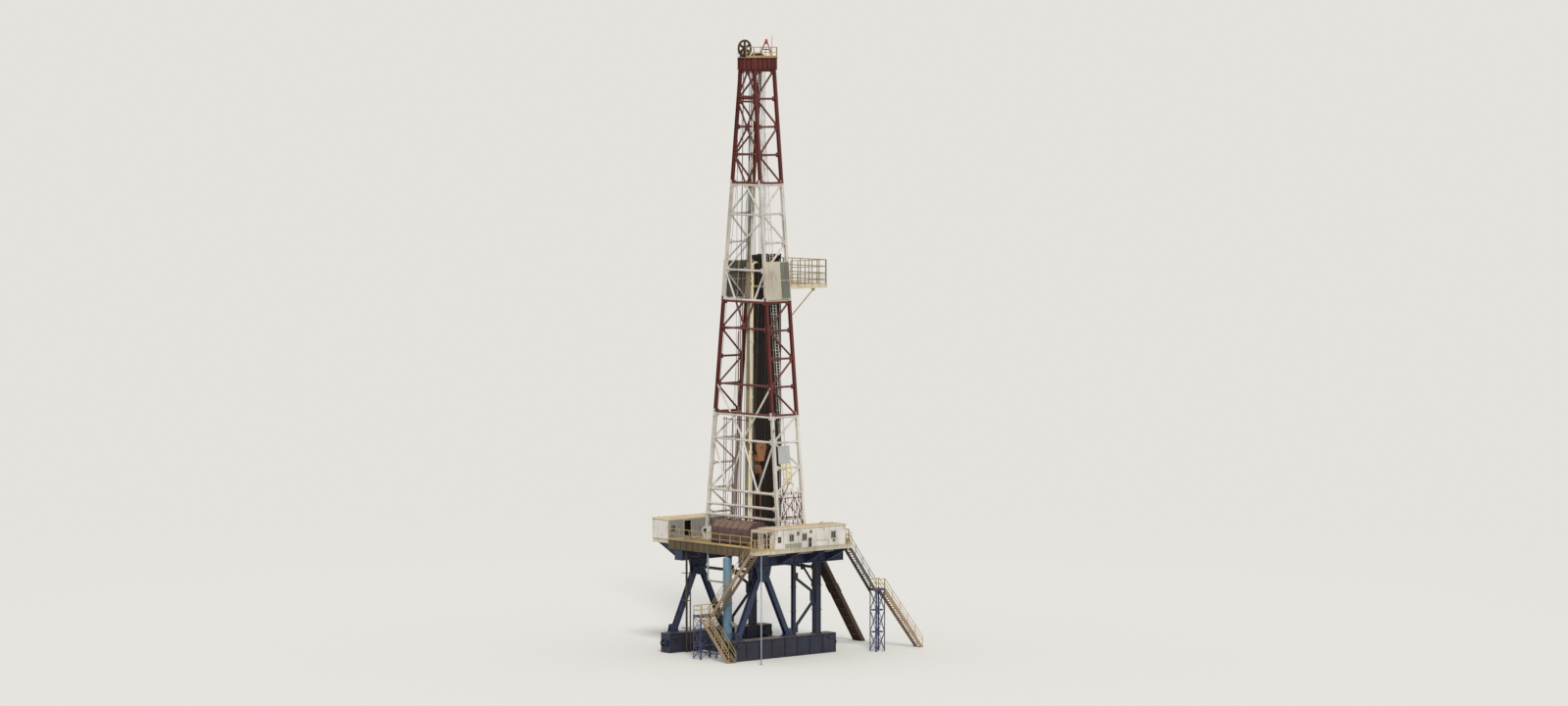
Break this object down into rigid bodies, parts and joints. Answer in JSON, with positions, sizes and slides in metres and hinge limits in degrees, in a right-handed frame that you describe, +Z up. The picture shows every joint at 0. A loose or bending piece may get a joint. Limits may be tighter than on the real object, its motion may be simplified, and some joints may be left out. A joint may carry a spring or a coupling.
{
  "type": "oil drilling rig (1:2 scale model)",
  "caption": "Land drilling rig with an open-front lattice mast, raised drill floor, side houses, stairs, ramp and hoisting block, at half size.",
  "frame": {"origin": "on the ground at the centre of the well, under the middle of the rotary table", "axes": "+X towards the foot of the V-door ramp, +Y to the side of the grey cabin, +Z up"},
  "size_m": [12.1, 9.07, 31.25],
  "materials": {
    "navy_paint": "weathered dark blue paint with rust at the edges",
    "deck_steel": "worn brown deck steel",
    "cream_paint": "dusty cream paint",
    "rail_paint": "faded ochre paint",
    "white_house": "dusty off-white corrugated sheet",
    "grey_house": "dusty grey corrugated sheet",
    "window_glass": "dark window glass",
    "stair_paint": "faded tan paint",
    "blue_paint": "faded steel blue paint",
    "rusty_steel": "dark rusty steel",
    "machine_paint": "dull mauve brown paint",
    "white_mast": "weathered cream white paint",
    "red_mast": "weathered oxide red paint",
    "dark_steel": "dark bare steel",
    "orange_paint": "dull orange paint",
    "wind_sheet": "light grey sheet",
    "wire_rope": "greased wire rope"
  },
  "bodies": {
    "rig": {"base_box_left": "navy_paint", "base_box_right": "navy_paint", "base_spreaders": "navy_paint", "side_frame_left": "navy_paint", "side_frame_right": "navy_paint", "columns_left": "navy_paint", "columns_right": "navy_paint", "cross_ties": "navy_paint", "upper_box_left": "navy_paint", "upper_box_right": "navy_paint", "floor_beams": "navy_paint", "drill_floor": "deck_steel", "floor_rim": "cream_paint", "rotary_table": "deck_steel", "handrails": "rail_paint", "right_platform": "cream_paint", "doghouse_walls": "white_house", "doghouse_roof": "white_house", "porch": "white_house", "right_brackets": "navy_paint", "left_platform": "cream_paint", "cabin_walls": "grey_house", "cabin_roof": "white_house", "left_brackets": "navy_paint", "window_panes": "window_glass", "right_stair_upper": "stair_paint", "right_landing": "blue_paint", "right_stair_lower": "stair_paint", "rear_stair_upper": "stair_paint", "rear_landing": "blue_paint", "rear_stair_lower": "stair_paint", "v_door_ramp": "rusty_steel", "drawworks": "machine_paint", "separator_vessel": "blue_paint", "mast_1_left": "white_mast", "mast_1_right": "white_mast", "mast_1_back": "white_mast", "mast_2_left": "red_mast", "mast_2_right": "red_mast", "mast_2_back": "red_mast", "mast_3_left": "white_mast", "mast_3_right": "white_mast", "mast_3_back": "white_mast", "mast_4_left": "red_mast", "mast_4_right": "red_mast", "mast_4_back": "red_mast", "mast_ladder": "white_mast", "standpipe": "white_mast", "crown_frame": "red_mast", "crown_sheaves": "dark_steel", "crown_rails": "rail_paint", "gin_frame": "orange_paint", "racking_board": "rail_paint", "board_guard": "rail_paint", "wind_walls": "wind_sheet", "board_braces": "rail_paint", "pipe_stands": "dark_steel", "hoist_lines": "wire_rope"},
    "travelling": {"travelling_block": "orange_paint", "hook_and_links": "orange_paint"}
  },
  "joints": [
    {"name": "hoist", "type": "slide", "parent": "rig", "child": "travelling", "axis": [0, 0, 1], "range_m": [0, 15], "deforming": ["hoist_lines"]}
  ]
}
